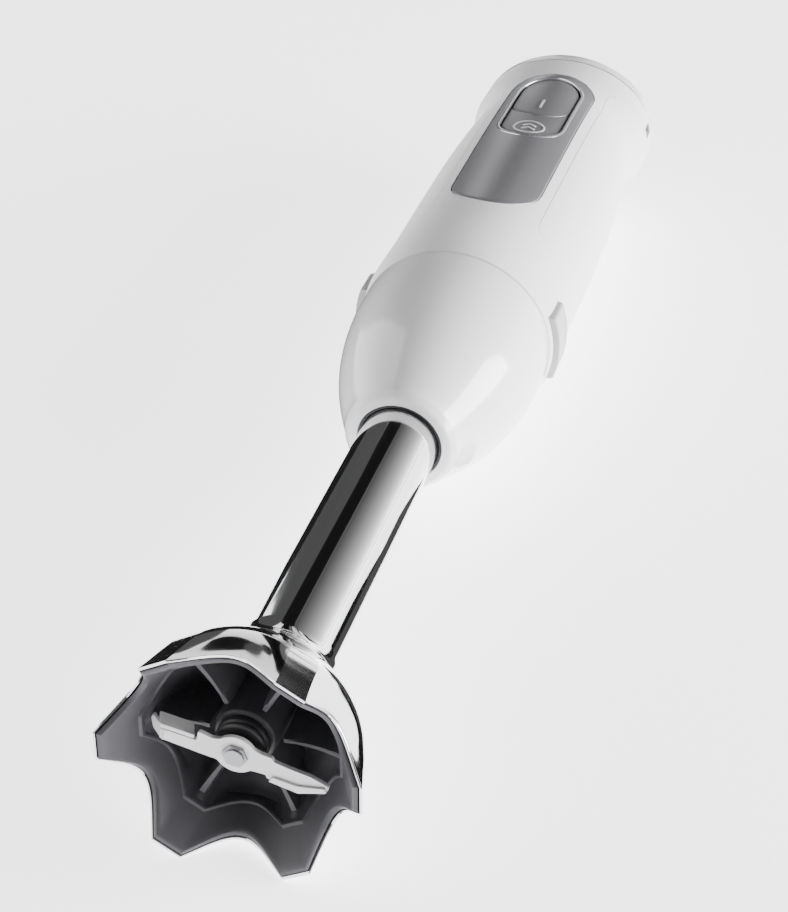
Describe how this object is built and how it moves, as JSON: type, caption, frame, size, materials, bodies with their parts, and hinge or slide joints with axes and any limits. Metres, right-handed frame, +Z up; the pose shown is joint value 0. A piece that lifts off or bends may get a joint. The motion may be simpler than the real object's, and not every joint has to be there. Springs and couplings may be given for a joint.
{
  "type": "immersion blender",
  "caption": "Hand-held immersion blender: white handle with two grey keys, pull-off steel blending shaft, scalloped bell foot and winged blade.",
  "frame": {"origin": "middle of the bounding box on the table under the blender lying on its back", "axes": "+Y along the drive axis from the foot to the top of the handle, +Z up out of the key side, +X to the right hand side"},
  "size_m": [0.069, 0.366, 0.0641],
  "materials": {
    "white_gloss": "gloss",
    "white_soft": "matte, soft-touch",
    "pale_grey": "satin",
    "panel_grey": "satin metallic",
    "button_grey": "satin metallic",
    "mirror_steel": "mirror polished",
    "blade_steel": "fine ground",
    "charcoal": "matte",
    "black_rubber": "matte",
    "dark_plastic": "matte",
    "iron": "plain",
    "copper": "enamelled",
    "bronze": "sintered",
    "carbon": "matte",
    "board_green": "lacquered",
    "zinc": "zinc plated"
  },
  "bodies": {
    "motor_unit": {"front_shell": "white_gloss", "rear_grip": "white_soft", "top_cap": "white_gloss", "control_panel": "panel_grey", "cord_gland": "pale_grey", "coupling_seat": "pale_grey", "seat_ring": "black_rubber", "lower_motor_bracket": "zinc", "upper_motor_bracket": "dark_plastic", "lower_motor_bearing": "bronze", "upper_motor_bearing": "bronze", "motor_damper_ring": "black_rubber", "stator_core": "iron", "upper_field_coil": "copper", "lower_field_coil": "copper", "brush_holder_left": "bronze", "brush_holder_right": "bronze", "carbon_brush_left": "carbon", "carbon_brush_right": "carbon", "motor_screw_1": "zinc", "motor_screw_2": "zinc", "motor_screw_3": "zinc", "circuit_board": "board_green", "speed_microswitch": "dark_plastic", "turbo_microswitch": "dark_plastic", "board_screw_left": "zinc", "board_screw_right": "zinc", "speed_button_spring": "zinc", "turbo_button_spring": "zinc", "release_spring_left": "zinc", "release_spring_right": "zinc"},
    "rotor": {"armature_shaft": "iron", "armature_core": "copper", "commutator": "copper", "cooling_fan": "dark_plastic", "drive_coupling": "dark_plastic"},
    "speed_key": {"speed_button": "button_grey"},
    "turbo_key": {"turbo_button": "button_grey"},
    "release_left": {"release_button_left": "pale_grey"},
    "release_right": {"release_button_right": "pale_grey"},
    "blending_shaft": {"coupling_cone": "white_gloss", "bearing_carrier": "dark_plastic", "catch_ring": "zinc", "steel_tube": "mirror_steel", "tube_ring": "black_rubber", "bell_housing": "mirror_steel", "bell_liner": "charcoal", "upper_shaft_bush": "bronze", "lower_shaft_bush": "bronze", "shaft_seal": "black_rubber"},
    "drive_line": {"drive_shaft": "iron", "drive_socket": "dark_plastic", "blade": "blade_steel", "blade_nut": "blade_steel"}
  },
  "joints": [
    {"name": "motor_spin", "type": "hinge", "parent": "motor_unit", "child": "rotor", "pos_m": [0, 0.067, 0.03203], "axis": [0, 1, 0], "continuous": true},
    {"name": "shaft_pull_off", "type": "slide", "parent": "motor_unit", "child": "blending_shaft", "axis": [0, -1, 0], "range_m": [0, 0.025]},
    {"name": "blade_spin", "type": "hinge", "parent": "blending_shaft", "child": "drive_line", "pos_m": [0, -0.176, 0.03203], "axis": [0, 1, 0], "continuous": true},
    {"name": "speed_press", "type": "slide", "parent": "motor_unit", "child": "speed_key", "axis": [0, 0, -1], "range_m": [0, 0.0015], "stiffness_N_per_m": 600, "springref_m": -0.003, "deforming": ["speed_button_spring"]},
    {"name": "turbo_press", "type": "slide", "parent": "motor_unit", "child": "turbo_key", "axis": [0, 0, -1], "range_m": [0, 0.0015], "stiffness_N_per_m": 600, "springref_m": -0.003, "deforming": ["turbo_button_spring"]},
    {"name": "release_left_press", "type": "slide", "parent": "motor_unit", "child": "release_left", "axis": [1, 0, 0], "range_m": [0, 0.002], "stiffness_N_per_m": 900, "springref_m": -0.003, "deforming": ["release_spring_left"]},
    {"name": "release_right_press", "type": "slide", "parent": "motor_unit", "child": "release_right", "axis": [-1, 0, 0], "range_m": [0, 0.002], "stiffness_N_per_m": 900, "springref_m": -0.003, "deforming": ["release_spring_right"]}
  ],
  "couplings": [
    {"joint": "blade_spin", "follows": "motor_spin", "ratio": 1}
  ]
}
